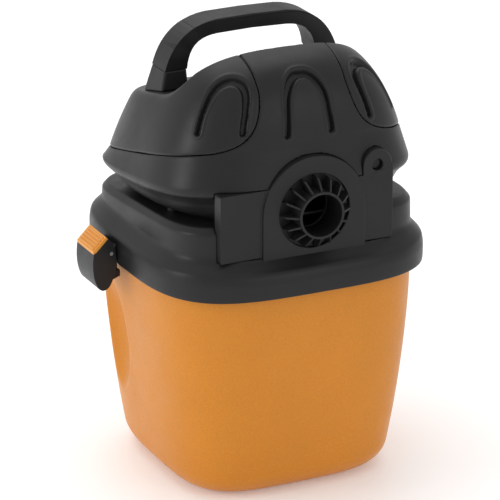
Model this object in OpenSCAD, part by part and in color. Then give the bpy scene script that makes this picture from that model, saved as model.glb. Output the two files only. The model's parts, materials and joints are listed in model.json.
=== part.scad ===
// Small wet and dry shop vacuum: square-sectioned tank, stepped lid, domed motor
// head with a carrying handle, two see-saw latches and a finned exhaust port.
// Millimetres. The origin is at the centre of the tank's foot, +Z is up and the
// exhaust port faces -Y.

/* [Tank] */
// Half width of the tank at its foot
foot_half = 91; // [85:0.5:94]
// Half width of the tank under the lid, across X
tank_x = 109.5; // [109:0.5:110.5]
// Half depth of the tank under the lid, along Y
tank_y = 112.5; // [112:0.5:113]
// Height of the tank's rim
tank_h = 198; // [196:0.5:199]
// Radius of the round between wall and foot
foot_round = 21; // [14:1:24]
// Thickness of the moulded walls
wall = 2.6; // [2.2:0.1:2.8]
// Distance of the hand scoops behind the tank's centre
scoop_y = 47; // [40:1:50]
// Depth of the hand scoops
scoop_depth = 15; // [8:1:16]

/* [Lid] */
// Half width of the lid's skirt, across X
rim_x = 118.4; // [118:0.1:118.6]
// Half depth of the lid's skirt, along Y
rim_y = 121.5; // [121:0.1:121.5]
// Height of the skirt's lower edge
skirt_z = 180; // [179:0.5:182]
// Half width of the collar at its foot
collar_half = 106.8; // [106:0.2:107.5]
// Height of the collar's top deck at its middle
deck_z = 230; // [229:0.5:231]
// Fall of the collar's top deck from front to back, as a slope
deck_slope = 0.069; // [0.05:0.001:0.075]

/* [Motor head] */
// Half width of the head's lower lip, across X
lip_x = 110; // [109:0.5:111]
// Half depth of the head's lower lip, along Y
lip_y = 106; // [105.5:0.25:106.5]
// Height of the lip's lower edge at its middle
lip_z = 251.5; // [250:0.5:253]
// Half width of the dome where the side covers start
dome_half = 104; // [103:0.25:105]
// Height of the dome's foot at its middle
dome_z = 270.5; // [268:0.5:272]
// Fall of the dome's foot from front to back, as a slope
dome_slope = 0.235; // [0.2:0.005:0.25]
// Height that the dome's top would reach
dome_top = 360; // [358:0.5:362]
// Height of the hand recess under the handle, at its middle
recess_z = 318; // [316:0.5:319]
// Half width of the middle strip between the side covers
strip_half = 37; // [34:0.5:42]

/* [Handle] */
// Distance of the handle behind the head's centre
handle_y = 17; // [12:1:20]
// Depth of the grip, along Y
grip_depth = 25; // [22:1:28]
// Height of the grip's top
grip_top = 371; // [369:0.5:374]

/* [Ports] */
// Radius of the bore of both hose ports
port_r = 17; // [15:0.25:17.5]
// Height of the exhaust port's axis
exhaust_z = 242.5; // [241:0.5:244]
// Number of fins round the exhaust port
fin_count = 16; // [12:1:20]
// Height of the inlet port's axis
inlet_z = 148; // [140:1:152]

/* [Latches] */
// Distance of the latches behind the tank's centre
latch_y = 19; // [14:1:24]
// Width of a latch, along Y
latch_w = 34; // [28:1:36]
// Distance of the latch pins from the tank's centre plane
pin_x = 124; // [123.5:0.1:124.5]
// Height of the latch pins
pin_z = 190; // [189:0.5:191]

/* [Hidden] */

$fn = 64;
black = "#2b2c2e";
orange = "#d08226";
steel = "#a9adb2";
copper = "#b36b3a";
around = 52;        // points round each lofted outline
play = 0.35;        // free gap between parts that only pass each other
eps = 0.02;         // overlap that lets a cut run clean through a face
bearing_r = 11;     // outer radius of the motor's bearings
bearing_bore = 4;   // bore radius of the motor's bearings
bearing_h = 7;
shaft_r = 3.96;
bolt_r = 2.2;
bolt_ring = 41.5;   // radius on which the motor's bolts stand
fan_z = 208;        // inner floor of the fan housing
fan_r = 56;
fan_top = 236;
bracket_z = 242;    // underside of the lower motor bracket
stack_z = 262;      // underside of the stator's plates
stack_h = 24;
upper_z = 302.5;    // underside of the upper motor bracket
cage_r = 45;
cage_z = 120;
float_r = 24;
float_seat = 12;    // radius of the suction hole that the float closes
panel_front = -105.4; // outer face of the exhaust panel
panel_back = -94.4;
arch_front = -107.8;
port_front = -120.8;
arch_r = 44;        // radius of the arched boss round the exhaust port
panel_left = -79;
panel_right = 69;
panel_top = 264;
panel_foot = 209.6;
arch_foot = 206.8;
tab_r = 12.5;
tab_x = 55.5;
tab_z = 271;
plate_ring = 70;    // radius on which the blower plate's screws stand
head_screw_x = 86;
head_screw_y = 34;

// A rounded square: |x/a|^n + |y/b|^n = 1
function squircle(a, b, n) = [for (i = [0:around - 1])
    let (t = 360 * i / around, c = cos(t), s = sin(t))
    [a * sign(c) * pow(abs(c), 2 / n), b * sign(s) * pow(abs(s), 2 / n)]];
// One level of a loft, [a, b, n, z, slope, shift], as points that fall towards +Y by
// slope; a shift moves the level along Y
function level_points(v) = let (shift = len(v) > 5 ? v[5] : 0)
    [for (p = squircle(v[0], v[1], v[2])) [p[0], p[1] + shift, v[3] - v[4] * p[1]]];
function flat(list) = [for (part = list) for (item = part) item];
function bands(count, closed) = [for (k = [0:count - (closed ? 1 : 2)]) for (i = [0:around - 1])
    let (j = (i + 1) % around, k2 = (k + 1) % count)
    for (face = [[k * around + i, k2 * around + i, k2 * around + j],
                 [k * around + i, k2 * around + j, k * around + j]]) face];
function cubic(p, t) = pow(1 - t, 3) * p[0] + 3 * pow(1 - t, 2) * t * p[1]
    + 3 * (1 - t) * t * t * p[2] + pow(t, 3) * p[3];
function curve(p, steps) = [for (k = [0:steps]) cubic(p, k / steps)];
function mirrored(points) = [for (k = [len(points) - 1:-1:0]) [-points[k][0], points[k][1]]];

// A solid through levels that run upwards
module loft(levels) {
    count = len(levels);
    polyhedron(flat([for (v = levels) level_points(v)]),
        concat(bands(count, false), [[for (i = [0:around - 1]) i]],
            [[for (i = [around - 1:-1:0]) (count - 1) * around + i]]), convexity = 6);
}
// A ring whose section runs up the outside and down the inside
module ring_loft(levels) {
    polyhedron(flat([for (v = levels) level_points(v)]), bands(len(levels), true), convexity = 6);
}
// Points of a ring of the given count of sides, square to the direction d
function ring_at(p, d, r, sides) =
    let (yaw = atan2(d[1], d[0]), pitch = atan2(d[2], norm([d[0], d[1]])))
    [for (k = [0:sides - 1]) let (s = r * cos(360 * k / sides), t = r * sin(360 * k / sides))
        p + [-s * sin(yaw) - t * sin(pitch) * cos(yaw), s * cos(yaw) - t * sin(pitch) * sin(yaw),
             t * cos(pitch)]];
// A round wire along a path
module wire(path, r, sides) {
    last = len(path) - 1;
    points = flat([for (k = [0:last])
        ring_at(path[k], path[min(k + 1, last)] - path[max(k - 1, 0)], r, sides)]);
    polyhedron(points, concat([for (k = [0:last - 1]) for (i = [0:sides - 1])
            let (j = (i + 1) % sides, a = sides * k, b = sides * k + sides)
            for (face = [[a + i, b + j, b + i], [a + i, a + j, b + j]]) face],
        [[for (i = [sides - 1:-1:0]) i]], [[for (i = [0:sides - 1]) sides * last + i]]), convexity = 10);
}
module tube(outer, inner, h) {
    difference() {
        cylinder(r = outer, h = h);
        translate([0, 0, -1]) cylinder(r = inner, h = h + 2);
    }
}
module both_sides() {
    children();
    mirror([1, 0, 0]) children();
}
// Stands its child on the Y axis, pointing to -Y, at height z
module facing_front(y, z) { translate([0, y, z]) rotate([90, 0, 0]) children(); }

// ---- tank -------------------------------------------------------------------
function tank_share(z) = 1 - pow(1 - min(z, skirt_z) / skirt_z, 1.71);
function tank_level(z, inset) = let (s = tank_share(z))
    [foot_half + (tank_x - foot_half) * s - inset, foot_half + (tank_y - foot_half) * s - inset,
     3.85 - 0.3 * s, z, 0];
function tank_foot_level(angle, floor_z, r, inset) =
    let (z = floor_z + r * (1 - cos(angle)), v = tank_level(z, inset + r * (1 - sin(angle)))) v;
wall_heights = [30, 45, 62, 82, 105, 130, 155, 178];
function tank_outer() = concat([for (angle = [0:18:90]) tank_foot_level(angle, 0, foot_round, 0)],
    [for (z = wall_heights) tank_level(z, 0)]);
function tank_inner() = concat([for (angle = [0:22.5:90]) tank_foot_level(angle, 3, foot_round - 2, wall)],
    [for (z = wall_heights) tank_level(z, wall)]);
scoop_x = tank_level(105, 0)[0];
scoop_half = 32;    // half width of a scoop's opening
scoop_long = 108;   // length of a scoop's opening, up the wall
scoop_r = (pow(scoop_half, 2) + pow(scoop_depth, 2)) / (2 * scoop_depth);
scoop_lean = 5.3;
// A spindle that stands off the wall and cuts a lens-shaped scoop into it
module scoop_spindle(grow) {
    sag = scoop_depth + grow;
    half = scoop_long / 2 * sqrt(sag / scoop_depth);
    big = (half * half + sag * sag) / (2 * sag);
    translate([scoop_x + scoop_r - scoop_depth, scoop_y, 105]) rotate([0, scoop_lean, 0])
        rotate_extrude($fn = 72) intersection() {
            translate([scoop_r + grow - big, 0]) circle(r = big, $fn = 180);
            translate([0, -half]) square([scoop_r + grow + 1, 2 * half]);
        }
}
module tank() {
    catch_size = [6, 24, 4.5];
    rim = [[tank_x + 0.3, tank_y + 0.3, 3.55, 190, 0], [tank_x + 3.6, tank_y + 3.6, 3.55, 192, 0],
        [tank_x + 3.6, tank_y + 3.6, 3.55, tank_h, 0]];
    color(orange) difference() {
        union() {
            loft(concat(tank_outer(), rim));
            both_sides() translate([tank_x - 2, latch_y - catch_size[1] / 2, 173.5]) cube(catch_size);
        }
        difference() {
            loft(concat(tank_inner(), [[tank_x - wall, tank_y - wall, 3.55, tank_h + 2, 0]]));
            both_sides() scoop_spindle(wall);
        }
        both_sides() scoop_spindle(0);
        translate([0, tank_y - 20, inlet_z]) rotate([-90, 0, 0]) cylinder(r = port_r + 3.3, h = 40);
    }
}
module inlet_port() {
    color(black) translate([0, rim_y, inlet_z]) rotate([90, 0, 0]) difference() {
        union() {
            cylinder(r = port_r + 3, h = 34);
            translate([0, 0, 5.6]) cylinder(r = port_r + 9, h = 3);
            cylinder(r = port_r + 4.6, h = 3);
        }
        translate([0, 0, -1]) cylinder(r = port_r, h = 36);
    }
}
// A cap inside the tank that turns what comes in downwards
module inlet_deflector() {
    back = rim_y - 34;
    color(black) difference() {
        translate([-24, back - 14, inlet_z - 26]) cube([48, 13.9, 50]);
        translate([-21.4, back - 11.4, inlet_z - 30]) cube([42.8, 12, 51]);
    }
}

// ---- lid --------------------------------------------------------------------
module panel_outline(grow) {
    translate([panel_left - grow, panel_foot - grow])
        square([panel_right - panel_left + 2 * grow, panel_top - panel_foot + 2 * grow]);
    translate([tab_x, tab_z]) circle(r = tab_r + grow);
    translate([tab_x - tab_r - grow, panel_top])
        square([panel_right + grow - tab_x + tab_r + grow, tab_z - panel_top]);
}
module arch_outline(grow) {
    intersection() {
        translate([0, exhaust_z]) circle(r = arch_r + grow);
        translate([-100, exhaust_z - 1]) square([200, 100]);
    }
    translate([-arch_r - grow, arch_foot - grow]) square([2 * (arch_r + grow), exhaust_z - arch_foot + grow]);
}
// The room that the exhaust panel and its duct take in the lid and the housing
module exhaust_space() {
    gap = 0.3;
    facing_front(panel_back + gap, 0) linear_extrude(40) {
        panel_outline(gap);
        arch_outline(gap);
    }
    translate([-26.3, panel_back - 1, 204]) cube([52.6, 60, 61.5]);
}
module at_plate_screws() {
    for (k = [0:3]) rotate(90 * k + 45) translate([plate_ring, 0, 0]) rotate(-90 * k - 45) children();
}
module at_head_screws() {
    for (x = [-head_screw_x, head_screw_x]) for (y = [-head_screw_y, head_screw_y])
        translate([x, y, 0]) children();
}
// The space above or below the sloping deck, moved up by lift
module above_deck(lift) {
    rotate([90, 0, 90]) translate([0, 0, -130]) linear_extrude(260)
        polygon([[-130, deck_z + lift + 130 * deck_slope], [130, deck_z + lift - 130 * deck_slope],
            [130, 400], [-130, 400]]);
}
module lid_shell() {
    deck = deck_z;
    front = -1.2;
    outside = [[rim_x - 0.4, rim_y - 0.4, 3.56, skirt_z, 0], [rim_x, rim_y, 3.56, skirt_z + 3, 0],
        [rim_x, rim_y, 3.56, 195, 0], [rim_x - 1.4, rim_y - 1.9, 3.7, 199.5, 0],
        [rim_x - 5.2, rim_y - 7, 4.3, 203, 0], [collar_half + 0.8, collar_half + front + 0.8, 4.6, 209, 0],
        [collar_half - 0.6, collar_half + front - 0.6, 4.6, 212, 0],
        [collar_half - 2, collar_half + front - 2, 5, deck - 4.7, deck_slope],
        [collar_half - 6, collar_half + front - 6, 5, deck, deck_slope],
        [62, 62, 2, deck, deck_slope]];
    inside = [[62, 62, 2, deck - wall, deck_slope],
        [collar_half - 7.6, collar_half + front - 7.6, 5, deck - wall, deck_slope],
        [collar_half - 4.6, collar_half + front - 4.6, 5, deck - 7.5, deck_slope],
        [collar_half - 3.4, collar_half + front - 3.4, 4.6, 209.5, 0],
        [collar_half - 2.6, collar_half + front - 2.6, 4.4, 201.2, 0],
        [rim_x - 5.9, rim_y - 6.6, 3.8, 201.2, 0], [rim_x - 3.9, rim_y - 3.9, 3.6, 199, 0],
        [rim_x - 2.7, rim_y - 2.7, 3.56, skirt_z, 0]];
    ring_loft(concat(outside, inside));
}
module lid_base() {
    color(black) difference() {
        union() {
            lid_shell();
            intersection() {
                at_plate_screws() translate([0, 0, 200]) cylinder(r = 5, h = 41);
                above_deck(-wall / 2);
            }
        }
        exhaust_space();
        at_plate_screws() translate([0, 0, 200]) cylinder(r = 1.7, h = 39);
        at_head_screws() translate([0, 0, 200]) cylinder(r = 2.1, h = 60);
    }
}
module lid_gasket() {
    color("#1c1c1d") ring_loft([[tank_x + 2.6, tank_y + 2.6, 3.55, tank_h + 0.2, 0],
        [tank_x + 2.6, tank_y + 2.6, 3.55, 201, 0], [tank_x - 2.2, tank_y - 2.2, 3.55, 201, 0],
        [tank_x - 2.2, tank_y - 2.2, 3.55, tank_h + 0.2, 0]]);
}
// The floor of the head, which carries the fan above and the filter cage below
module blower_plate() {
    color(black) difference() {
        union() {
            translate([0, 0, 203]) cylinder(r = 74, h = 3);
            difference() {
                at_plate_screws() translate([0, 0, 203]) cylinder(r = 5, h = 40);
                above_deck(-wall - 0.1);
            }
        }
        translate([0, 0, 200]) cylinder(r = float_seat, h = 10);
        at_plate_screws() translate([0, 0, 200]) cylinder(r = 1.7, h = 45);
    }
}
module screw_up(z, head_r, shank_r, length) {
    translate([0, 0, z - 2.5]) cylinder(r = head_r, h = 2.5, $fn = 32);
    translate([0, 0, z - 0.1]) cylinder(r = shank_r, h = length, $fn = 32);
}
module plate_screws() { color(steel) at_plate_screws() screw_up(202.9, 3.5, 1.6, 33); }
module cover_screws() { color(steel) at_head_screws() screw_up(deck_z - wall - 3.4, 4, 2, 15); }

// ---- fan chamber --------------------------------------------------------------
module fan_housing() {
    color("#3a3b3e") difference() {
        translate([0, 0, fan_z - 1.9]) cylinder(r = fan_r, h = fan_top - fan_z + 1.8);
        translate([0, 0, fan_z]) cylinder(r = fan_r - 2.4, h = 40);
        translate([0, 0, fan_z - 5]) cylinder(r = 20, h = 10);
        translate([-17, -fan_r - 5, fan_z + 4]) cube([34, 20, 20]);
    }
}
module fan_cover() {
    color("#3a3b3e") difference() {
        translate([0, 0, fan_top]) cylinder(r = fan_r, h = 3);
        translate([0, 0, fan_top - 1]) cylinder(r = 9, h = 5);
    }
}
module exhaust_duct() {
    y0 = panel_back + 0.4;
    color("#3a3b3e") difference() {
        translate([-26, y0, fan_z + 1]) cube([52, -y0 - fan_r + 7, 56]);
        translate([-23.4, y0 + 2.6, fan_z + 3.6]) cube([46.8, 60, 50.8]);
        translate([0, 0, fan_z - 2]) cylinder(r = fan_r + 0.1, h = 80);
        facing_front(y0 + 10, exhaust_z) cylinder(r = port_r, h = 20);
    }
}

// ---- motor head ---------------------------------------------------------------
function dome_share(f) = pow(1 - pow(f, 4), 0.93);
function dome_level(f, inset) = let (s = dome_share(f), a = dome_half * f - inset * sqrt(max(0, 1 - s)))
    [a, a - 2, 3.4 - 0.35 * s, dome_z + (dome_top - dome_z) * s - inset * s,
     dome_slope * (1 - s), 3 - dome_lean * s];
dome_lean = 19;     // how far the dome's top stands towards the front
dome_steps = [0.9995, 0.975, 0.93, 0.88, 0.82, 0.75, 0.67, 0.57, 0.45, 0.3, 0.1];
// Levels of the head's belly: half width, half depth, squareness, drop below the lip
// and how much of the wall's thickness is measured upwards
belly = [[86, 84, 2.8, 20.2, 1], [92, 89.5, 2.5, 18.6, 1], [97.5, 95, 2.4, 16, 0.8],
    [101.5, 98.5, 2.5, 11.5, 0.4],
    [104.5, 101.5, 2.7, 6.5, 0.2], [107.6, 104.2, 3.0, 2.6, 0.1], [109.4, 105.7, 3.4, 0, 0]];
module head_solid(inset) {
    i = inset;
    loft(concat([[86 - i, 84 - i, 2.8, deck_z + 0.3 - 2 * i, deck_slope]],
        [for (v = belly) [v[0] - i, v[1] - i, v[2], lip_z - v[3] + i * v[4], 0.1 - 0.001 * v[3]]],
        [[lip_x - i, lip_y - i, 3.5, lip_z + 3.5 + i * 0.2, 0.11, 0.5],
        [dome_half + 1 - i, dome_half - 1 - i, 3.42, dome_z - 0.6, dome_slope, 3]],
        [for (f = dome_steps) dome_level(f, inset)]));
}
recess_slope = 0.22;
recess_profile = concat([[160, recess_z - recess_slope * 160]],
    curve([[0, recess_z], [-18, recess_z + 3], [-32, recess_z + 9], [-39, recess_z + 28]], 8),
    [[-50, dome_top + 1], [-56, dome_top + 60], [160, dome_top + 60]]);
// The space that is cut away behind the dome's ridge, where the hand goes
module hand_recess() {
    rotate([90, 0, 90]) translate([0, 0, -130]) linear_extrude(260) polygon(recess_profile);
}
module head_shell() {
    difference() {
        head_solid(0);
        hand_recess();
        difference() {
            head_solid(wall);
            translate([0, -wall, -2.1]) hand_recess();
        }
    }
}
// The space of one side cover: its inner edge drops beside the middle strip and then
// sweeps outwards into the dome's foot
module cover_space(gap) {
    foot = dome_z + dome_slope * 104;
    edge = curve([[strip_half + gap, foot + 46], [strip_half + 4 + gap, foot + 14],
        [strip_half + 14, foot + 1 + gap], [strip_half + 48, foot + gap]], 10);
    rotate([-atan(dome_slope), 0, 0]) translate([0, 150, 0]) rotate([90, 0, 0]) linear_extrude(300)
        translate([0, -104 * dome_slope * cos(atan(dome_slope))])
            polygon(concat([[strip_half + gap, foot + 120]], edge,
                [[150, foot + gap], [150, foot + 120]]));
}
module switch_place() { translate([0, 99.2, 268]) rotate([14, 0, 0]) children(); }
module gland_place() { translate([-52, 98, 264]) rotate([14, 0, 0]) rotate([-90, 0, 0]) children(); }
module main_housing() {
    color(black) difference() {
        union() {
            head_shell();
            difference() {
                translate([0, 0, upper_z + 4]) tube(21.5, 18.1, 30);
                translate([0, 0, -1]) hand_recess();
            }
            intersection() {
                at_head_screws() translate([0, 0, 220]) cylinder(r = 5, h = 28);
                above_deck(0.4);
            }
        }
        exhaust_space();
        at_head_screws() translate([0, 0, 220]) cylinder(r = 2.1, h = 24);
        both_sides() cover_space(0);
        switch_place() translate([-14.5, -20, -10.5]) cube([29, 40, 21]);
        gland_place() translate([0, 0, -20]) cylinder(r = 6.1, h = 40);
    }
}
module side_cover() {
    color(black) difference() {
        intersection() {
            head_shell();
            cover_space(play);
        }
        translate([66, handle_y, recess_z - 30]) cylinder(r = 2.4, h = 40);
        mirror([1, 0, 0]) gland_place() translate([0, 0, -20]) cylinder(r = 11, h = 40);
    }
}
module side_cover_left() { mirror([1, 0, 0]) side_cover(); }
module side_cover_right() { side_cover(); }

// ---- exhaust ------------------------------------------------------------------
recess_ring = 29.8; // radius of the hole in the boss round the fins
module exhaust_panel() {
    skin = 3;
    color(black) difference() {
        union() {
            facing_front(panel_back, 0) linear_extrude(panel_back - panel_front) panel_outline(0);
            facing_front(panel_back, 0) linear_extrude(panel_back - arch_front) arch_outline(0);
        }
        facing_front(0, 0) linear_extrude(-panel_front - skin) intersection() {
            panel_outline(-skin);
            translate([panel_left + skin, panel_foot + skin])
                square([panel_right - panel_left - 2 * skin, panel_top - panel_foot - 2 * skin]);
        }
        facing_front(0, 0) linear_extrude(-arch_front - skin) arch_outline(-skin);
        facing_front(0, exhaust_z) cylinder(r = recess_ring, h = 130);
        facing_front(0, tab_z) translate([tab_x, 0, 0]) cylinder(r = 2.2, h = 130);
        facing_front(panel_front + 6, tab_z) translate([tab_x, 0, 0]) cylinder(r = 4.6, h = 20);
    }
}
module panel_screw() {
    color(steel) facing_front(panel_front + 5.9, tab_z) translate([tab_x, 0, 0]) {
        cylinder(r = 3.8, h = 2.4, $fn = 32);
        translate([0, 0, -12]) cylinder(r = 1.9, h = 12.1, $fn = 32);
    }
}
// The exhaust tube: fins stand round it like a cooling collar
module exhaust_port() {
    flange = 2.4;
    base = -arch_front - 3.1 - flange;
    reach = -port_front - base;
    fin_front = reach - 9;
    tail = base + panel_back - 0.4;
    color(black) facing_front(-base, exhaust_z) difference() {
        union() {
            cylinder(r = recess_ring + 3, h = flange);
            translate([0, 0, -tail]) cylinder(r = port_r + 2, h = reach + tail);
            for (k = [0:fin_count - 1]) rotate(360 * k / fin_count) rotate([90, 0, 0])
                translate([0, 0, -0.8]) linear_extrude(1.6) polygon([[port_r + 1, 1], [28.5, 1],
                    [28.5, fin_front], [27.6, fin_front + 2.2], [port_r + 3, reach - 1.2],
                    [port_r + 1, reach - 1.2]]);
        }
        translate([0, 0, -tail - 1]) cylinder(r = port_r, h = 60);
    }
}

// ---- handle -------------------------------------------------------------------
handle_foot_z = 333;    // where the handle meets its feet
foot_out = 82.5;
foot_in = 56;
module handle_outline(drop) {
    d = drop;
    right = concat([[75.2, handle_foot_z]], curve([[75.2 - d * 0.5, handle_foot_z + 0.1], [70, 351],
        [58, grip_top - 3], [30, grip_top - 0.6 - d]], 12), [[0, grip_top - d]]);
    polygon(concat(right, mirrored(right)));
}
module handle_opening() {
    right = concat([[55.6, 300], [56.2, handle_foot_z]], curve([[56.2, handle_foot_z], [54.5, 349],
        [48, grip_top - 13.4], [30, grip_top - 12.4]], 10), [[0, grip_top - 11.6]]);
    polygon(concat(right, mirrored(right)));
}
module across_handle(depth) {
    translate([0, handle_y + depth / 2, 0]) rotate([90, 0, 0]) linear_extrude(depth) children();
}
module handle_arch() {
    color(black) difference() {
        across_handle(grip_depth) difference() {
            handle_outline(0);
            handle_opening();
            intersection() {
                difference() {
                    handle_outline(0);
                    handle_outline(2.2);
                }
                translate([-50, 340]) square([100, 60]);
            }
        }
        both_sides() translate([66, handle_y, 300]) cylinder(r = 1.7, h = 44);
    }
}
module grip_pad() {
    color("#3b3c3e") across_handle(grip_depth) intersection() {
        difference() {
            handle_outline(0);
            handle_outline(2.15);
        }
        translate([-49.8, 340]) square([99.6, 60]);
    }
}
module handle_foot() {
    color(black) difference() {
        hull() {
            translate([foot_in + 0.4, handle_y - grip_depth / 2, handle_foot_z - 1])
                cube([19, grip_depth, 1 - eps]);
            translate([foot_in, handle_y - 17, 305]) cube([foot_out - foot_in, 34, 1]);
        }
        difference() {
            translate([0, -60, 200]) cube([120, 160, 140]);
            hand_recess();
        }
        translate([66, handle_y, 300]) cylinder(r = 2.4, h = 44);
    }
}
module handle_foot_left() { mirror([1, 0, 0]) handle_foot(); }
module handle_foot_right() { handle_foot(); }
module handle_screws() {
    color(steel) both_sides() translate([66, handle_y, 0]) {
        translate([0, 0, 310.1]) cylinder(r = 1.6, h = 33, $fn = 32);
        translate([0, 0, 307.8]) cylinder(r = 4, h = 2.4, $fn = 32);
    }
}

// ---- motor --------------------------------------------------------------------
module at_bolts() { for (k = [0:3]) rotate(90 * k + 45) translate([bolt_ring, 0, 0]) children(); }
module bracket_outline(seat_r) {
    circle(r = seat_r);
    square([13, 72], center = true);
    for (k = [0:1]) rotate(90 * k + 45) square([2 * bolt_ring, 11], center = true);
    for (k = [0:3]) rotate(90 * k + 45) translate([bolt_ring, 0]) circle(r = 5.5);
}
module bracket(z, seat_z) {
    difference() {
        union() {
            translate([0, 0, z]) linear_extrude(3) bracket_outline(15);
            translate([0, 0, min(z, seat_z)]) cylinder(r = bearing_r + 3, h = bearing_h + 2.5);
        }
        translate([0, 0, seat_z]) cylinder(r = bearing_r, h = bearing_h);
        translate([0, 0, z - 10]) cylinder(r = 7, h = 40);
        at_bolts() translate([0, 0, z - 1]) cylinder(r = bolt_r + 0.2, h = 5);
    }
}
module motor_mount_lower() { color("#1c1c1d") translate([0, 0, fan_top + 3]) tube(50, 30, 3); }
module motor_mount_upper() { color("#1c1c1d") translate([0, 0, upper_z + 3.1]) tube(18, bearing_r + 3.1, 3); }
module lower_bracket() { color("#8d9196") bracket(bracket_z, bracket_z + 2); }
module upper_bracket() { color("#8d9196") bracket(upper_z, upper_z); }
module motor_bolts() {
    color(steel) at_bolts() {
        translate([0, 0, bracket_z]) cylinder(r = bolt_r, h = upper_z + 3 - bracket_z, $fn = 32);
        translate([0, 0, upper_z + 3]) cylinder(r = 4, h = 2.6, $fn = 6);
    }
}
module lower_bearing() {
    color(steel) translate([0, 0, bracket_z + 2]) tube(bearing_r, bearing_bore, bearing_h);
}
module upper_bearing() { color(steel) translate([0, 0, upper_z]) tube(bearing_r, bearing_bore, bearing_h); }
pole_half = 13;
module stator_core() {
    color("#7b7f85") translate([0, 0, stack_z]) linear_extrude(stack_h) difference() {
        union() {
            difference() {
                union() {
                    circle(r = 38);
                    for (k = [0:3]) rotate(90 * k + 45) translate([bolt_ring - 2, 0]) circle(r = 5.2);
                }
                circle(r = 34.5);
            }
            difference() {
                square([72, 2 * pole_half], center = true);
                circle(r = 21);
            }
        }
        for (k = [0:3]) rotate(90 * k + 45) translate([bolt_ring, 0]) circle(r = bolt_r + 0.2);
    }
}
module field_coils() {
    color(copper) both_sides() difference() {
        translate([23, -19, stack_z - 6]) cube([5, 38, stack_h + 12]);
        translate([22, -pole_half - 0.2, stack_z - 0.2]) cube([7, 2 * pole_half + 0.4, stack_h + 0.4]);
    }
}
brush_z = 293;
module brush_side() {
    children();
    rotate(180) children();
}
module brush_holders() {
    color("#6b4a2b") brush_side() difference() {
        translate([-5, 14, brush_z - 1]) cube([10, 22, upper_z - brush_z + 0.98]);
        translate([-3.1, 12, brush_z + 0.9]) cube([6.2, 21.5, 5.2]);
    }
}
module carbon_brushes() {
    color("#27272a") brush_side() translate([-3, 11.3, brush_z + 1]) cube([6, 13, 5]);
}
function coil_path(r, turns, h) =
    [for (k = [0:10 * turns]) [r * cos(36 * k), r * sin(36 * k), h * k / (10 * turns)]];
module coil_spring(r, turns, h) { wire(coil_path(r, turns, h), 0.45, 6); }
module brush_springs() {
    color(steel) brush_side() translate([0, 24.6, brush_z + 3.5]) rotate([-90, 0, 0])
        coil_spring(1.7, 4, 8.6);
}
module motor_disc(r, z, h) {
    difference() {
        translate([0, 0, z]) cylinder(r = r, h = h);
        translate([0, 0, z - 1]) cylinder(r = shaft_r, h = h + 2);
    }
}
module shaft() {
    foot = fan_z - 1.4;
    color(steel) translate([0, 0, foot]) cylinder(r = shaft_r, h = upper_z + bearing_h - foot);
}
module armature_core() {
    slots = 12;
    color("#7b7f85") difference() {
        motor_disc(20.4, stack_z, stack_h);
        for (k = [0:slots - 1]) rotate(360 * k / slots) translate([14, -1, stack_z - 1])
            cube([10, 2, stack_h + 2]);
    }
}
module armature_windings() {
    color(copper) {
        motor_disc(18, stack_z - 3.6, 3.5);
        motor_disc(18, stack_z + stack_h + 0.1, 4.6);
    }
}
module commutator() {
    bars = 24;
    color(copper) difference() {
        motor_disc(11, brush_z - 1.5, 9.3);
        for (k = [0:bars - 1]) rotate(360 * k / bars) translate([9.8, -0.2, brush_z - 3]) cube([3, 0.4, 13]);
    }
}
module cooling_fan() {
    color("#d9d4c4") {
        motor_disc(9, 253, 5);
        for (k = [0:8]) rotate(40 * k) translate([8.6, 0, 253.4]) rotate([35, 0, 0]) cube([11, 1.2, 4.6]);
    }
}
vane_count = 8;
module impeller() {
    color("#9ea2a6") {
        motor_disc(47, 228, 1.6);
        difference() {
            union() {
                motor_disc(9, 212, 16.1);
                translate([0, 0, 212]) tube(47, 21, 1.6);
                for (k = [0:vane_count - 1]) rotate(360 * k / vane_count) difference() {
                    translate([23, 0, 213.2]) cylinder(r = 22.6, h = 15.2);
                    translate([23, 0, 213]) cylinder(r = 21.4, h = 16);
                    translate([-10, -50, 213]) cube([80, 50, 16]);
                    translate([0, 0, 213]) cylinder(r = 14, h = 16);
                }
            }
            translate([0, 0, 205]) cylinder(r = shaft_r, h = 30);
        }
    }
}
module impeller_nut() {
    color(steel) difference() {
        translate([0, 0, 208]) cylinder(r = 7.5, h = 3.9, $fn = 6);
        translate([0, 0, 205]) cylinder(r = shaft_r, h = 10);
    }
}

// ---- filter -------------------------------------------------------------------
module filter_cage() {
    ribs = 12;
    color(black) difference() {
        union() {
            translate([0, 0, cage_z]) cylinder(r = cage_r, h = 80);
            translate([0, 0, 199.9]) cylinder(r = 60, h = 3);
            translate([0, 0, cage_z - 2]) cylinder(r = 52, h = 2.4);
        }
        translate([0, 0, cage_z + 2.4]) cylinder(r = cage_r - 2.4, h = 100);
        for (k = [0:ribs - 1]) rotate(360 * k / ribs)
            translate([cage_r - 8, -8, cage_z + 10]) cube([16, 16, 58]);
        for (k = [0:5]) rotate(60 * k) translate([26, 0, cage_z - 5]) cylinder(r = 6, h = 10);
    }
}
module filter_sleeve() {
    color("#55585c") translate([0, 0, cage_z + 0.6]) tube(55, cage_r + 0.3, 78);
}
module filter_band() { color("#c9c4b4") translate([0, 0, cage_z + 6]) tube(57, 55.1, 6); }
module float_ball() { color("#e4e0d4") translate([0, 0, cage_z + 2.7 + float_r]) sphere(r = float_r); }

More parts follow.
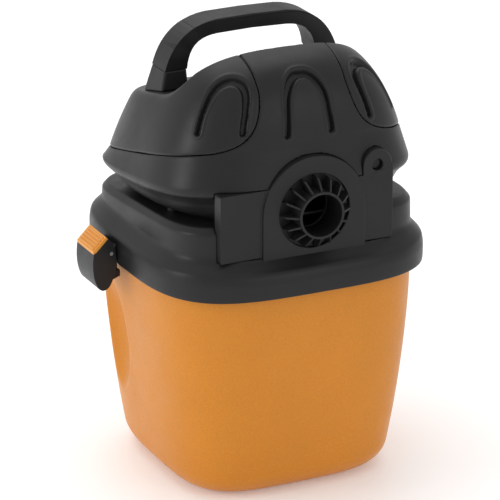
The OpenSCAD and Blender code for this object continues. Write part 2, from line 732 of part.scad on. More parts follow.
// ---- switch and cord inlet -----------------------------------------------------
module switch_body() {
    color("#1c1c1d") switch_place() difference() {
        union() {
            translate([-18, 1.2, -13]) cube([36, 2, 26]);
            translate([-14, -16, -10]) cube([28, 17.3, 20]);
        }
        translate([-11.5, -6, -8]) cube([23, 20, 16]);
        for (side = [-1, 1]) translate([side * 12, 0, 0]) rotate([0, 90, 0])
            cylinder(r = 1.5, h = 3, center = true);
    }
}
rocker_tilt = 8;
module switch_rocker() {
    color("#8e1f1b") switch_place() {
        rotate([-rocker_tilt, 0, 0]) rotate([0, 90, 0]) translate([0, 0, -11]) linear_extrude(22)
            polygon([[-7, 2], [-7, 5.4], [0, 4], [7, 5.4], [7, 2], [2, -3], [-2, -3]]);
        rotate([0, 90, 0]) cylinder(r = 1.44, h = 25, center = true);
    }
}
module cord_gland() {
    color("#1c1c1d") gland_place() difference() {
        union() {
            translate([0, 0, 1.2]) cylinder(r = 9.5, h = 2.6);
            translate([0, 0, -10]) cylinder(r = 6, h = 22);
        }
        translate([0, 0, -11]) cylinder(r = 3.7, h = 24);
    }
}
lead_path = [[0, 80, 262], [0, 74, 262], [2, 66, 264], [6, 58, 270], [8, 52, 278], [8, 46, 286],
    [7, 42, 292], [6, 39, 295], [5, 36.3, 296.5]];
// The lead that runs from the switch to the brush gear
module motor_lead() { color("#1c1c1d") wire(lead_path, 1.5, 8); }

// ---- latches ------------------------------------------------------------------
module across_latch(width) {
    translate([0, latch_y + width / 2, 0]) rotate([90, 0, 0]) linear_extrude(width) children();
}
lever_outer = concat([[119.8, 186], [122.6, 199], [126.6, 202.7], [137, 192.3], [139.2, 191.5]],
    curve([[139.2, 191.5], [140.6, 182], [140.4, 172], [136.6, 164]], 8),
    curve([[136.6, 164], [134, 158.6], [128.6, 158.6], [125.2, 163.8]], 8), [[120.4, 174], [119.4, 179]]);
lever_cavity = [[100, 176], [120, 176], [126.5, 166], [132, 165], [136.8, 170], [137.8, 180],
    [136.6, 189], [126.2, 199.4], [121, 196], [100, 196]];
hook_outline = [[127, 163], [114, 167.6], [114, 172.6], [116.4, 172.6],
    [119.5, 170.5], [124, 170.5], [128, 166]];
module latch_lever() {
    color(black) difference() {
        union() {
            difference() {
                across_latch(latch_w) polygon(lever_outer);
                across_latch(latch_w - 5.6) polygon(lever_cavity);
            }
            across_latch(20) polygon(hook_outline);
        }
        translate([pin_x, latch_y, pin_z]) rotate([90, 0, 0]) cylinder(r = 1.56, h = 60, center = true);
    }
}
// Ribbed thumb pad that closes the top of the lever
module latch_pad() {
    ribs = 5;
    color(orange) {
        across_latch(latch_w - 1)
            polygon([[126.75, 202.75], [128.4, 204.6], [139.3, 193.7], [139.4, 191.6], [137.1, 192.4]]);
        for (k = [0:ribs - 1]) across_latch(latch_w - 5) translate([130 + 2 * k, 203.1 - 2 * k])
            circle(r = 0.9, $fn = 24);
    }
}
module latch_lever_right() { latch_lever(); }
module latch_pad_right() { latch_pad(); }
module latch_lever_left() { mirror([1, 0, 0]) latch_lever(); }
module latch_pad_left() { mirror([1, 0, 0]) latch_pad(); }
ear_gap = 16;
module latch_brackets() {
    color(black) both_sides() difference() {
        union() {
            across_latch(27)
                polygon([[rim_x + 0.02, 183], [119.4, 183], [119.4, 195.4], [rim_x + 0.02, 195.4]]);
            difference() {
                across_latch(27) union() {
                    translate([pin_x, pin_z]) circle(r = 3.6);
                    polygon([[119, 185], [pin_x, pin_z - 3.6], [pin_x, pin_z + 3.6], [119, 194.6]]);
                }
                across_latch(ear_gap) translate([119.4, 170]) square([20, 40]);
            }
        }
        translate([pin_x, latch_y, pin_z]) rotate([90, 0, 0]) cylinder(r = 1.5, h = 60, center = true);
    }
}
module latch_pins() {
    color(steel) both_sides() translate([pin_x, latch_y, pin_z]) rotate([90, 0, 0])
        cylinder(r = 1.5, h = latch_w, center = true);
}
module latch_springs() {
    color(steel) both_sides() translate([pin_x, latch_y + 7, pin_z]) rotate([90, 0, 0])
        coil_spring(2.5, 6, 14);
}

tank();
inlet_port();
inlet_deflector();
lid_base();
lid_gasket();
blower_plate();
plate_screws();
fan_housing();
fan_cover();
exhaust_duct();
main_housing();
side_cover_left();
side_cover_right();
exhaust_panel();
exhaust_port();
panel_screw();
handle_arch();
grip_pad();
handle_foot_left();
handle_foot_right();
handle_screws();
cover_screws();
motor_mount_lower();
motor_mount_upper();
lower_bracket();
upper_bracket();
motor_bolts();
stator_core();
field_coils();
brush_holders();
carbon_brushes();
brush_springs();
lower_bearing();
upper_bearing();
filter_cage();
filter_sleeve();
filter_band();
switch_body();
switch_rocker();
cord_gland();
motor_lead();
latch_brackets();
latch_pins();
latch_springs();
latch_lever_left();
latch_pad_left();
latch_lever_right();
latch_pad_right();
float_ball();
shaft();
armature_core();
armature_windings();
commutator();
cooling_fan();
impeller();
impeller_nut();
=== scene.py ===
"""A small wet and dry shop vacuum in its finished looks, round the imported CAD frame.
The shells of the tank, the lid and the head are lofts remade here with their seams and grooves;
everything else is the CAD node with softened edges. Shapes are worked out in millimetres."""

import json
import math

import bpy
import numpy as np
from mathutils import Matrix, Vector


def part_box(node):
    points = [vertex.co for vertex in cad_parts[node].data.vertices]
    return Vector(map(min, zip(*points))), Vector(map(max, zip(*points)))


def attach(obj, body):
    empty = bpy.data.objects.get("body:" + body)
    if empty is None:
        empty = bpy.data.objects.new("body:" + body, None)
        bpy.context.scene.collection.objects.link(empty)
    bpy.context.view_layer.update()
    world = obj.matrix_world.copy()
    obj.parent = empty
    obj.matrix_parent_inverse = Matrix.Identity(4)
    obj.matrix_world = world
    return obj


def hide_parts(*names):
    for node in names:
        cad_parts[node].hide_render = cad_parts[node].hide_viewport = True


MM = 0.001
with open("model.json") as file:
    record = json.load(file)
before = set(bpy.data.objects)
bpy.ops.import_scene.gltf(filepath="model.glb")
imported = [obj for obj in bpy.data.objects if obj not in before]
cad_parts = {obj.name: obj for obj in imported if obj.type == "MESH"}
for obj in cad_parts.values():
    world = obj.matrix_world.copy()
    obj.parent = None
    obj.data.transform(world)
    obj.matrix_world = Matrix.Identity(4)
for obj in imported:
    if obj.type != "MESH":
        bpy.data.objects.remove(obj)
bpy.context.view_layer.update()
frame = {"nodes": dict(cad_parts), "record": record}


def mm_box(node):
    low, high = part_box(node)
    return np.array(low) / MM, np.array(high) / MM


# ---- sizes taken from the frame ------------------------------------------------
LID_LOW, LID_HIGH = mm_box("lid_base")
TANK_HIGH = mm_box("tank")[1]
PANEL_LOW, PANEL_HIGH = mm_box("exhaust_panel")
PORT_LOW, PORT_HIGH = mm_box("exhaust_port")
INLET_LOW, INLET_HIGH = mm_box("inlet_port")

RIM_X = LID_HIGH[0]
RIM_Y = LID_HIGH[1]
SKIRT_Z = LID_LOW[2]
TANK_H = TANK_HIGH[2]
# The tank's box includes the catches on its sides and the bead round its rim
CATCH_REACH, BEAD_REACH = 4.0, 3.6
TANK_X = TANK_HIGH[0] - CATCH_REACH
TANK_Y = TANK_HIGH[1] - BEAD_REACH
PORT_Z = (PORT_LOW[2] + PORT_HIGH[2]) / 2
INLET_Z = (INLET_LOW[2] + INLET_HIGH[2]) / 2

# ---- proportions of the shells, in millimetres -------------------------------------
# Tank: half width and corner radius of its foot, and the hand scoops in its sides
FOOT_HALF = 91.0
FOOT_ROUND = 21.0
SCOOP_Y, SCOOP_Z = 47.0, 105.0
SCOOP_DEPTH, SCOOP_HALF, SCOOP_LONG = 15.0, 32.0, 108.0
SCOOP_LEAN = math.radians(5.3)
TANK_WALL, HEAD_WALL = 2.6, 2.2
INLET_HOLE_R = 20.2
# Lid: half width of the collar, how far its front stands back, and its sloping deck
COLLAR, FRONT_SHIFT = 106.8, -1.2
DECK_Z, DECK_SLOPE = 230.0, 0.069
# Head: lower lip, dome, hand recess behind the dome's ridge, and middle strip
LIP_X, LIP_Y, LIP_Z = 110.0, 106.0, 251.5
DOME_HALF, DOME_Z, DOME_SLOPE, DOME_TOP, DOME_LEAN = 104.0, 270.5, 0.235, 360.0, 19.0
RECESS_Z, RECESS_SLOPE = 318.0, 0.22
STRIP_HALF = 37.0
BOSS_X, BOSS_Y, BOSS_R, BOSS_TOP = 86.0, 34.0, 5.0, 246.0
# Exhaust block: its arch, the square part behind it, and the tab for its screw
ARCH_R = 44.0
BLOCK_FOOT, BLOCK_TOP = 209.6, 264.0
TAB_X, TAB_Z, TAB_R = 55.5, 271.0, 12.5
# Holes in the shells: the pocket of the block reaches back to POCKET, and the lid stays whole
# below LID_STEP_Z; play is left round the block, the switch and the cord's gland
POCKET = 92.0
LID_STEP_Z = 208.6
LID_PLAY, HEAD_PLAY = 0.35, 0.45
SWITCH_Z, SWITCH_HALF_X, SWITCH_HALF_Z = 268.0, 14.6, 10.6
GLAND_X, GLAND_Z, GLAND_R = -52.0, 264.0, 6.2
BACK_Y = 60.0
# Mesh: points per quarter of a loft behind and in front, and the spacing of its levels
TANK_GRID, LID_GRID, HEAD_GRID = (170, 110), (120, 150), (100, 300)
LID_STEP, HEAD_STEP = 1.8, 0.85
KEEP = 99.0


# ---- lofting ---------------------------------------------------------------------
def quadrant(a, b, n, fractions):
    """Points of the first quadrant of |x/a|^n + |y/b|^n = 1 at shares of its length."""
    t = np.linspace(0, math.pi / 2, 1500)
    c, s = np.abs(np.cos(t)) ** (2 / n), np.abs(np.sin(t)) ** (2 / n)
    c[-1] = 0
    s[0] = 0
    x, y = a * c, b * s
    run = np.concatenate([[0], np.cumsum(np.hypot(np.diff(x), np.diff(y)))])
    return np.interp(fractions * run[-1], run, x), np.interp(fractions * run[-1], run, y)


def ring(level, back, front):
    """One closed outline of a loft: level is [a, b, n, z, slope, shift]."""
    a, b, n, z, slope, shift = level
    fb, ff = np.linspace(0, 1, back + 1), np.linspace(0, 1, front + 1)
    xb, yb = quadrant(a, b, n, fb)
    xf, yf = quadrant(a, b, n, ff)
    x = np.concatenate([xb[:-1], -xb[::-1][:-1], -xf[:-1], xf[::-1][:-1]])
    y = np.concatenate([yb[:-1], yb[::-1][:-1], -yf[:-1], -yf[::-1][:-1]])
    return np.stack([x, y + shift, z - slope * y], axis=1)


def loft(levels, back, front):
    """Rings of points, one for each level."""
    return np.array([ring(v, back, front) for v in levels])


def full(level):
    """A level with its slope and shift filled in."""
    return np.array(list(level) + [0.0] * (6 - len(level)), float)


def rounded(control, radii, step):
    """Levels along a path of control levels with rounded corners, no further apart than step."""
    control = [full(v) for v in control]

    def gap(p, q):
        return math.hypot(p[0] - q[0], p[3] - q[3]) + 1e-9

    out = [control[0]]
    for k in range(1, len(control) - 1):
        before, here, after = control[k - 1], control[k], control[k + 1]
        r = min(radii[k], 0.49 * gap(before, here), 0.49 * gap(here, after))
        start = here + (before - here) * r / gap(before, here)
        end = here + (after - here) * r / gap(here, after)
        for t in np.linspace(0, 1, 7):
            out.append((1 - t) ** 2 * start + 2 * t * (1 - t) * here + t * t * end)
    out.append(control[-1])
    fine = [out[0]]
    for here in out[1:]:
        count = max(1, int(math.ceil(gap(fine[-1], here) / step)))
        first = fine[-1]
        for k in range(1, count + 1):
            fine.append(first + (here - first) * k / count)
    return fine


def grid_faces(rows, columns):
    """Triangles between neighbouring rings of a loft."""
    k, i = np.meshgrid(np.arange(rows - 1), np.arange(columns), indexing="ij")
    j = (i + 1) % columns
    a, b, c, d = k * columns + i, k * columns + j, (k + 1) * columns + j, (k + 1) * columns + i
    first = np.stack([a, b, c], axis=-1).reshape(-1, 3)
    second = np.stack([a, c, d], axis=-1).reshape(-1, 3)
    return np.concatenate([first, second])


def grid_normals(points):
    """Outward normals of a loft whose rings run anticlockwise and whose levels run upwards."""
    along = np.roll(points, -1, axis=1) - np.roll(points, 1, axis=1)
    up = np.gradient(points, axis=0)
    n = np.cross(along, up)
    size = np.linalg.norm(n, axis=2, keepdims=True)
    size[size < 1e-9] = 1
    return n / size


def capped(points, start=False, end=False):
    """Vertices and faces of a loft, with a fan over its first or last ring."""
    rows, columns = points.shape[:2]
    verts, faces = points.reshape(-1, 3), grid_faces(rows, columns)
    i = np.arange(columns)
    j = (i + 1) % columns
    if start:
        verts = np.vstack([verts, points[0].mean(axis=0)])
        faces = np.vstack([faces, np.stack([j, i, np.full(columns, len(verts) - 1)], axis=1)])
    if end:
        verts = np.vstack([verts, points[-1].mean(axis=0)])
        last = (rows - 1) * columns
        faces = np.vstack([faces, np.stack([last + i, last + j, np.full(columns, len(verts) - 1)], axis=1)])
    return verts, faces


def cut(verts, faces, field):
    """The part of a triangle mesh where field is positive, with a clean edge where it is zero."""
    field = np.where(np.abs(field) < 1e-6, 1e-6, field)
    inside = field > 0
    count = inside[faces].sum(axis=1)
    kept = list(map(tuple, faces[count == 3]))
    new_points, seen = [], {}

    def crossing(i, j):
        key = (min(i, j), max(i, j))
        if key not in seen:
            t = field[i] / (field[i] - field[j])
            seen[key] = len(verts) + len(new_points)
            new_points.append(verts[i] + (verts[j] - verts[i]) * t)
        return seen[key]

    for face in faces[(count == 1) | (count == 2)]:
        face = list(map(int, face))
        loop = []
        for k in range(3):
            i, j = face[k], face[(k + 1) % 3]
            if inside[i]:
                loop.append(i)
            if inside[i] != inside[j]:
                loop.append(crossing(i, j))
        kept.append(tuple(loop[:3]))
        if len(loop) == 4:
            kept.append((loop[0], loop[2], loop[3]))
    verts = np.vstack([verts, np.array(new_points)]) if new_points else verts
    kept = np.array(kept)
    used = np.unique(kept)
    index = np.full(len(verts), -1)
    index[used] = np.arange(len(used))
    return verts[used], index[kept]


def near_line(points, line):
    """Distance of each point from a polyline."""
    best = np.full(len(points), 1e9)
    for p, q in zip(line[:-1], line[1:]):
        d = q - p
        t = np.clip(((points - p) @ d) / max(d @ d, 1e-12), 0, 1)
        best = np.minimum(best, np.linalg.norm(points - p - t[:, None] * d, axis=1))
    return best


def bezier(p, steps):
    """Points along a cubic curve."""
    p = np.array(p, float)
    t = np.linspace(0, 1, steps)[:, None]
    return (1 - t) ** 3 * p[0] + 3 * (1 - t) ** 2 * t * p[1] + 3 * (1 - t) * t * t * p[2] + t**3 * p[3]


def smooth_min(a, b, k):
    """The lesser of two values, rounded where they meet."""
    h = np.maximum(k - np.abs(a - b), 0) / k
    return np.minimum(a, b) - h * h * k / 4


# ---- the shapes of the shells -------------------------------------------------------
def tank_level(z, inset=0.0):
    """Outline of the tank at a height: it widens quickly over the foot and is upright at the skirt."""
    share = 1 - (1 - min(z, SKIRT_Z) / SKIRT_Z) ** 1.71
    return [FOOT_HALF + (TANK_X - FOOT_HALF) * share - inset,
            FOOT_HALF + (TANK_Y - FOOT_HALF) * share - inset, 3.85 - 0.3 * share, z, 0, 0]


def tank_points():
    """The tank from the middle of its floor, round the foot and up to the bead at its rim."""
    levels = []
    flat = tank_level(0, FOOT_ROUND)
    for k in (0.03, 0.3, 0.6, 0.85):
        levels.append([flat[0] * k, flat[1] * k, 2 + (flat[2] - 2) * k, 0.0, 0, 0])
    for angle in np.radians(np.arange(0, 91, 6)):
        z = FOOT_ROUND * (1 - math.cos(angle))
        levels.append(tank_level(z, FOOT_ROUND * (1 - math.sin(angle))))
    for z in np.arange(FOOT_ROUND + 2, 187, 1.8):
        levels.append(tank_level(z))
    for grow, z in ((0.3, 188), (0.6, 189.6), (3.2, 191.4), (3.6, 193), (3.6, 196.6), (3.1, TANK_H)):
        levels.append([TANK_X + grow, TANK_Y + grow, 3.55, z, 0, 0])
    return scooped(loft(levels, *TANK_GRID))


def scooped(points):
    """Sinks the two hand scoops into the tank's sides."""
    r = (SCOOP_HALF**2 + SCOOP_DEPTH**2) / (2 * SCOOP_DEPTH)
    half = SCOOP_LONG / 2
    big = (half**2 + SCOOP_DEPTH**2) / (2 * SCOOP_DEPTH)
    wall_x = tank_level(SCOOP_Z)[0]
    x, y, z = points[..., 0], points[..., 1], points[..., 2]
    h = z - SCOOP_Z
    rho = r - big + np.sqrt(np.maximum(big**2 - np.minimum(np.abs(h), big) ** 2, 0))
    axis_x = wall_x + r - SCOOP_DEPTH + np.tan(SCOOP_LEAN) * h
    reach = rho**2 - (y - SCOOP_Y) ** 2
    cut_x = np.where((reach > 0) & (np.abs(h) < half * 1.2), axis_x - np.sqrt(np.maximum(reach, 0)), 1e3)
    side = np.sign(x)
    out = points.copy()
    sunk = smooth_min(np.abs(x), cut_x, 1.6)
    out[..., 0] = side * np.where(np.abs(x) > 60, sunk, np.abs(x))
    return out


def lid_points():
    """The lid from inside its skirt, over the step and up the collar to the sloping deck."""
    c, f = COLLAR, FRONT_SHIFT
    control = [[RIM_X - 2.6, RIM_Y - 2.6, 3.56, SKIRT_Z + 2], [RIM_X - 2.4, RIM_Y - 2.4, 3.56, SKIRT_Z],
               [RIM_X - 0.3, RIM_Y - 0.3, 3.56, SKIRT_Z], [RIM_X, RIM_Y, 3.56, SKIRT_Z + 4],
               [RIM_X, RIM_Y, 3.56, 194], [RIM_X - 1.6, RIM_Y - 2.1, 3.7, 200.2],
               [RIM_X - 5.6, RIM_Y - 7.6, 4.3, 203.1], [c + 1.2, c + f + 1.2, 4.6, 208.6],
               [c - 0.6, c + f - 0.6, 4.6, 212], [c - 2, c + f - 2, 5, DECK_Z - 4.9, DECK_SLOPE],
               [c - 5.8, c + f - 5.8, 5, DECK_Z, DECK_SLOPE], [70, 70, 3, DECK_Z - 0.3, DECK_SLOPE],
               [62, 62, 2, DECK_Z - 0.3, DECK_SLOPE]]
    radii = [0, 0.3, 0.8, 2, 3, 3.2, 3.5, 2.2, 2, 1.4, 1.4, 4, 0]
    return loft(rounded(control, radii, LID_STEP), *LID_GRID)


def recess_height(y):
    """Height of the floor of the hand recess at each y; far above the dome at the front."""
    curve = bezier([[0, RECESS_Z], [-18, RECESS_Z + 3], [-32, RECESS_Z + 9], [-39, RECESS_Z + 28]], 24)
    line = np.vstack([[160, RECESS_Z - 160 * RECESS_SLOPE], curve, [-50, DOME_TOP + 1], [-56, DOME_TOP + 60],
                      [-160, DOME_TOP + 400]])[::-1]
    return np.interp(y, line[:, 0], line[:, 1])


def dome_level(f):
    """Outline of the dome at a share f of its foot's width: 1 at the foot, 0 at the top."""
    share = max(0.0, 1 - f**4) ** 0.93
    a = DOME_HALF * f
    return full([a, a - 2, 3.4 - 0.35 * share, DOME_Z + (DOME_TOP - DOME_Z) * share, DOME_SLOPE * (1 - share),
                 3 - DOME_LEAN * share])


DOME_FOOT, DOME_START = 0.9995, 0.985


def head_points(back, front, step):
    """The head from the deck, over its belly and lip to the dome's top, with the hand recess."""
    # Half width, half depth, squareness, drop below the lip and shift along y
    belly = [[86, 94, 3.0, 19.8, -9], [92, 96.5, 2.9, 18.2, -6.5], [97.5, 99, 2.8, 15.8, -4.5],
             [101.5, 101, 2.8, 11.5, -2.7], [104.5, 103, 2.9, 6.5, -1.2], [107.6, 105, 3.1, 2.6, -0.4],
             [109.4, 105.9, 3.4, 0, 0]]
    control = [[85, 93, 3.0, DECK_Z + 1, DECK_SLOPE, -9]]
    control += [[v[0], v[1], v[2], LIP_Z - v[3], 0.1 - 0.001 * v[3], v[4]] for v in belly]
    control += [[LIP_X, LIP_Y, 3.5, LIP_Z + 3.5, 0.11, 0.5]]
    control += [dome_level(DOME_FOOT), dome_level(DOME_START)]
    levels = rounded(control, [0, 1, 2, 2, 2, 2, 2, 1.5, 3, 3, 0], step)[:-1]
    shares = np.linspace(DOME_START, 0.0, 3000)
    path = np.array([dome_level(f)[[0, 3]] for f in shares])
    run = np.concatenate([[0], np.cumsum(np.hypot(*np.diff(path, axis=0).T))])
    count = int(run[-1] / step)
    for f in np.interp(np.linspace(0, run[-1] * 0.995, count), run, shares):
        levels.append(dome_level(f))
    apart = [levels[0]]
    for level in levels[1:]:
        if math.hypot(level[0] - apart[-1][0], level[3] - apart[-1][3]) > 0.3 * step:
            apart.append(level)
    points = loft(apart, back, front)
    z = points[..., 2]
    points[..., 2] = np.where(z > DOME_Z - 20, smooth_min(z, recess_height(points[..., 1]), 7.0), z)
    return points


def crease_height(points):
    """Height above the crease that runs round the head under the side covers."""
    return points[:, 2] - (DOME_Z - DOME_SLOPE * points[:, 1])


# Edge of the side covers as distance from the middle and height over the crease: down beside
# the middle strip, then outwards just above the crease
CREASE_LIFT = 2.0
COVER_EDGE = np.vstack([[[STRIP_HALF, 160]],
                        bezier([[STRIP_HALF, 46], [STRIP_HALF + 4, 16], [STRIP_HALF + 13, 4.5],
                                [STRIP_HALF + 40, CREASE_LIFT]], 40), [[160, CREASE_LIFT]]])


def cover_field(points):
    """Positive inside the side covers: roughly the distance from their edge."""
    h = crease_height(points)
    flat = np.stack([np.abs(points[:, 0]), h], axis=1)
    away = near_line(flat, COVER_EDGE)
    line = COVER_EDGE[::-1]
    edge_x = np.interp(np.maximum(h, CREASE_LIFT), line[:, 1], line[:, 0])
    return np.where((h > CREASE_LIFT) & (flat[:, 0] > edge_x), away, -away)


def panel_field(x, z):
    """Positive outside the outline of the exhaust block."""
    def rect(low_x, high_x, low_z, high_z):
        return np.maximum(np.maximum(low_x - x, x - high_x), np.maximum(low_z - z, z - high_z))

    tab_top = np.hypot(x - TAB_X, z - TAB_Z) - TAB_R
    square = rect(PANEL_LOW[0], PANEL_HIGH[0], BLOCK_FOOT, BLOCK_TOP)
    body = np.minimum(square, rect(TAB_X - TAB_R, PANEL_HIGH[0], BLOCK_TOP - 4, TAB_Z))
    arch = np.minimum(np.where(z > PORT_Z, np.hypot(x, z - PORT_Z) - ARCH_R, 1e3),
                      rect(-ARCH_R, ARCH_R, PANEL_LOW[2], PORT_Z + 1))
    return np.minimum(np.minimum(body, tab_top), arch)


# Centre lines of the three horseshoe grooves: bearing from the front, height over the crease
LEG, APEX = 10.2, 56.0
MIDDLE_GROOVE = [[-LEG - 0.6, 9], [-LEG, 26], [-LEG + 0.4, 40], [-LEG + 3.4, 51], [-3.4, 55.4], [0, APEX],
                 [3.4, 55.4], [LEG - 3.4, 51], [LEG - 0.4, 40], [LEG, 26], [LEG + 0.6, 9]]
SIDE_GROOVE = [[30.4, 16], [29.6, 30], [29.4, 43], [30.8, 51], [34, 55.6], [38, 57], [42.4, 54.6], [45.4, 49],
               [47.2, 40], [48.2, 30], [48.6, 19]]
# Half width of a groove in its legs and at its top, and its depth; then the seam's half width,
# the width of its rounded edge and how far that edge is sunk
GROOVE_LEG, GROOVE_TOP, GROOVE_DEEP = 2.9, 4.6, 4.2
SEAM_GAP, SEAM_ROUND, SEAM_DEEP = 0.3, 1.5, 0.9


def on_surface(verts, marks):
    """Points of a surface at the given bearings and heights over the crease."""
    bearing = np.degrees(np.arctan2(verts[:, 0], -verts[:, 1]))
    h = crease_height(verts)
    return np.array([verts[np.argmin((1.7 * (bearing - b)) ** 2 + (h - v) ** 2)] for b, v in marks])


def smoothed(points, steps):
    """A Catmull-Rom curve through the points."""
    p = np.vstack([2 * points[0] - points[1], points, 2 * points[-1] - points[-2]])
    out = []
    for k in range(1, len(p) - 2):
        for t in np.linspace(0, 1, steps, endpoint=False):
            a, b, c, d = p[k - 1], p[k], p[k + 1], p[k + 2]
            out.append(0.5 * (2 * b + (c - a) * t + (2 * a - 5 * b + 4 * c - d) * t * t
                              + (3 * b - a - 3 * c + d) * t**3))
    return np.array(out + [points[-1]])


def groove_depth(verts):
    """How far the head's surface is sunk by its three horseshoe grooves."""
    outer = np.hypot(verts[:, 0], verts[:, 1]) > 62
    near = np.flatnonzero((verts[:, 1] < -46) & (verts[:, 2] > DOME_Z) & outer)
    mirrored = [[-b, h] for b, h in SIDE_GROOVE]
    share = np.full(len(near), 9.0)
    for marks in (MIDDLE_GROOVE, SIDE_GROOVE, mirrored):
        path = smoothed(np.array(marks), 6)
        line = on_surface(verts[near], path)
        for _ in range(6):
            line[1:-1] = (line[:-2] + 2 * line[1:-1] + line[2:]) / 4
        height = np.clip((path[:, 1] - 30) / (APEX - 30), 0, 1)
        wide = GROOVE_LEG + (GROOVE_TOP - GROOVE_LEG) * height**1.5
        for p, q, start, end in zip(line[:-1], line[1:], wide[:-1], wide[1:]):
            d = q - p
            t = np.clip(((verts[near] - p) @ d) / max(d @ d, 1e-12), 0, 1)
            away = np.linalg.norm(verts[near] - p - t[:, None] * d, axis=1)
            share = np.minimum(share, away / (start + (end - start) * t))
    inside = np.clip(1 - share, 0, 1)
    depth = np.zeros(len(verts))
    lip = 0.4 * np.exp(-((share - 1.35) / 0.3) ** 2)
    depth[near] = GROOVE_DEEP * np.minimum(1, 1.9 * inside * inside * (3 - 2 * inside)) - lip
    return depth


# ---- pieces ------------------------------------------------------------------------
def piece(name, verts, faces, body, slot, nodes, wall):
    """A shell of the given wall, inwards from its surface, that stands for CAD nodes."""
    mesh = bpy.data.meshes.new(name)
    mesh.from_pydata((verts * MM).tolist(), [], faces.tolist())
    mesh.validate()
    mesh.polygons.foreach_set("use_smooth", [True] * len(mesh.polygons))
    mesh.set_sharp_from_angle(angle=math.radians(SHARP_ANGLE))
    obj = bpy.data.objects.new(name, mesh)
    bpy.context.scene.collection.objects.link(obj)
    mesh.materials.append(SLOT_MATERIALS[slot])
    shell = obj.modifiers.new("wall", "SOLIDIFY")
    shell.thickness = wall * MM
    shell.offset = -1
    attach(obj, body)
    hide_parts(*nodes)
    return obj


# ---- materials ----------------------------------------------------------------------
def colour_of(slot):
    """The record's colour for a slot, as linear light."""
    for entry in frame["record"]["materials"]:
        if entry["slot"] == slot:
            return [c**2.2 for c in entry["base_color"]]
    return [0.2, 0.2, 0.2]


def moulded(name, colour, rough, grain=0.00012, grain_size=1500.0, edge_highlight=0.5, metal=0.0, spread=0.1,
            shine=0.5, stretch=(1, 1, 1)):
    """A material with drifting colour, fine grain, duller edges and a painted highlight that makes its convex
    edges paler.
    """
    mat = bpy.data.materials.new(name)
    mat.use_nodes = True
    nodes, links = mat.node_tree.nodes, mat.node_tree.links
    shader = nodes["Principled BSDF"]
    shader.inputs["Metallic"].default_value = metal
    shader.inputs["Specular IOR Level"].default_value = shine
    place = nodes.new("ShaderNodeTexCoord")
    shape = nodes.new("ShaderNodeMapping")
    shape.inputs["Scale"].default_value = stretch
    links.new(place.outputs["Object"], shape.inputs["Vector"])

    def noise(scale, detail, roughness=0.55):
        node = nodes.new("ShaderNodeTexNoise")
        node.inputs["Scale"].default_value = scale
        node.inputs["Detail"].default_value = detail
        node.inputs["Roughness"].default_value = roughness
        links.new(shape.outputs["Vector"], node.inputs["Vector"])
        return node.outputs["Fac"]

    def ramp(value, stops):
        node = nodes.new("ShaderNodeValToRGB")
        ends = node.color_ramp.elements
        ends[0].position, ends[1].position = stops[0][0], stops[1][0]
        ends[0].color, ends[1].color = stops[0][1], stops[1][1]
        links.new(value, node.inputs["Fac"])
        return node.outputs["Color"]

    def shade(k):
        return [min(1.0, c * k) for c in colour] + [1.0]

    drift = ramp(noise(14.0, 4.0), [(0.3, shade(1 - spread)), (0.7, shade(1 + spread))])
    speck = ramp(noise(900.0, 2.0), [(0.35, (0.93, 0.93, 0.93, 1)), (0.65, (1.06, 1.06, 1.06, 1))])
    body = nodes.new("ShaderNodeMix")
    body.data_type, body.blend_type = "RGBA", "MULTIPLY"
    body.inputs["Factor"].default_value = 1.0
    links.new(drift, body.inputs["A"])
    links.new(speck, body.inputs["B"])

    # Paler colour on convex edges, taken from Pointiness and broken into random patches, is a painted
    # highlight.
    edge = nodes.new("ShaderNodeNewGeometry")
    edge_highlight_mask = ramp(edge.outputs["Pointiness"], [(0.52, (0, 0, 0, 1)), (0.62, (1, 1, 1, 1))])
    highlight_patches = ramp(noise(60.0, 5.0), [(0.35, (0.2, 0.2, 0.2, 1)), (0.7, (1, 1, 1, 1))])
    highlight_amount = nodes.new("ShaderNodeMath")
    highlight_amount.operation = "MULTIPLY"
    links.new(edge_highlight_mask, highlight_amount.inputs[0])
    links.new(highlight_patches, highlight_amount.inputs[1])
    highlight_strength = nodes.new("ShaderNodeMath")
    highlight_strength.operation = "MULTIPLY"
    highlight_strength.inputs[1].default_value = edge_highlight
    links.new(highlight_amount.outputs[0], highlight_strength.inputs[0])
    pale = nodes.new("ShaderNodeMix")
    pale.data_type = "RGBA"
    links.new(highlight_strength.outputs[0], pale.inputs["Factor"])
    links.new(body.outputs["Result"], pale.inputs["A"])
    highlight_colour = [min(1.0, c * 1.4 + 0.015) for c in colour]
    pale.inputs["B"].default_value = (highlight_colour[0], highlight_colour[1], highlight_colour[2], 1)
    links.new(pale.outputs["Result"], shader.inputs["Base Color"])

    smooth, coarse = rough - 0.05, rough + 0.08
    dull = ramp(noise(45.0, 6.0, 0.65), [(0.3, (smooth,) * 3 + (1,)), (0.72, (coarse,) * 3 + (1,))])
    links.new(dull, shader.inputs["Roughness"])
    bump = nodes.new("ShaderNodeBump")
    bump.inputs["Strength"].default_value = 0.55
    bump.inputs["Distance"].default_value = grain
    links.new(noise(grain_size, 3.0, 0.6), bump.inputs["Height"])
    wave = nodes.new("ShaderNodeBump")
    wave.inputs["Strength"].default_value = 0.25
    wave.inputs["Distance"].default_value = 0.0008
    links.new(noise(22.0, 2.0), wave.inputs["Height"])
    links.new(bump.outputs["Normal"], wave.inputs["Normal"])
    links.new(wave.outputs["Normal"], shader.inputs["Normal"])
    return mat
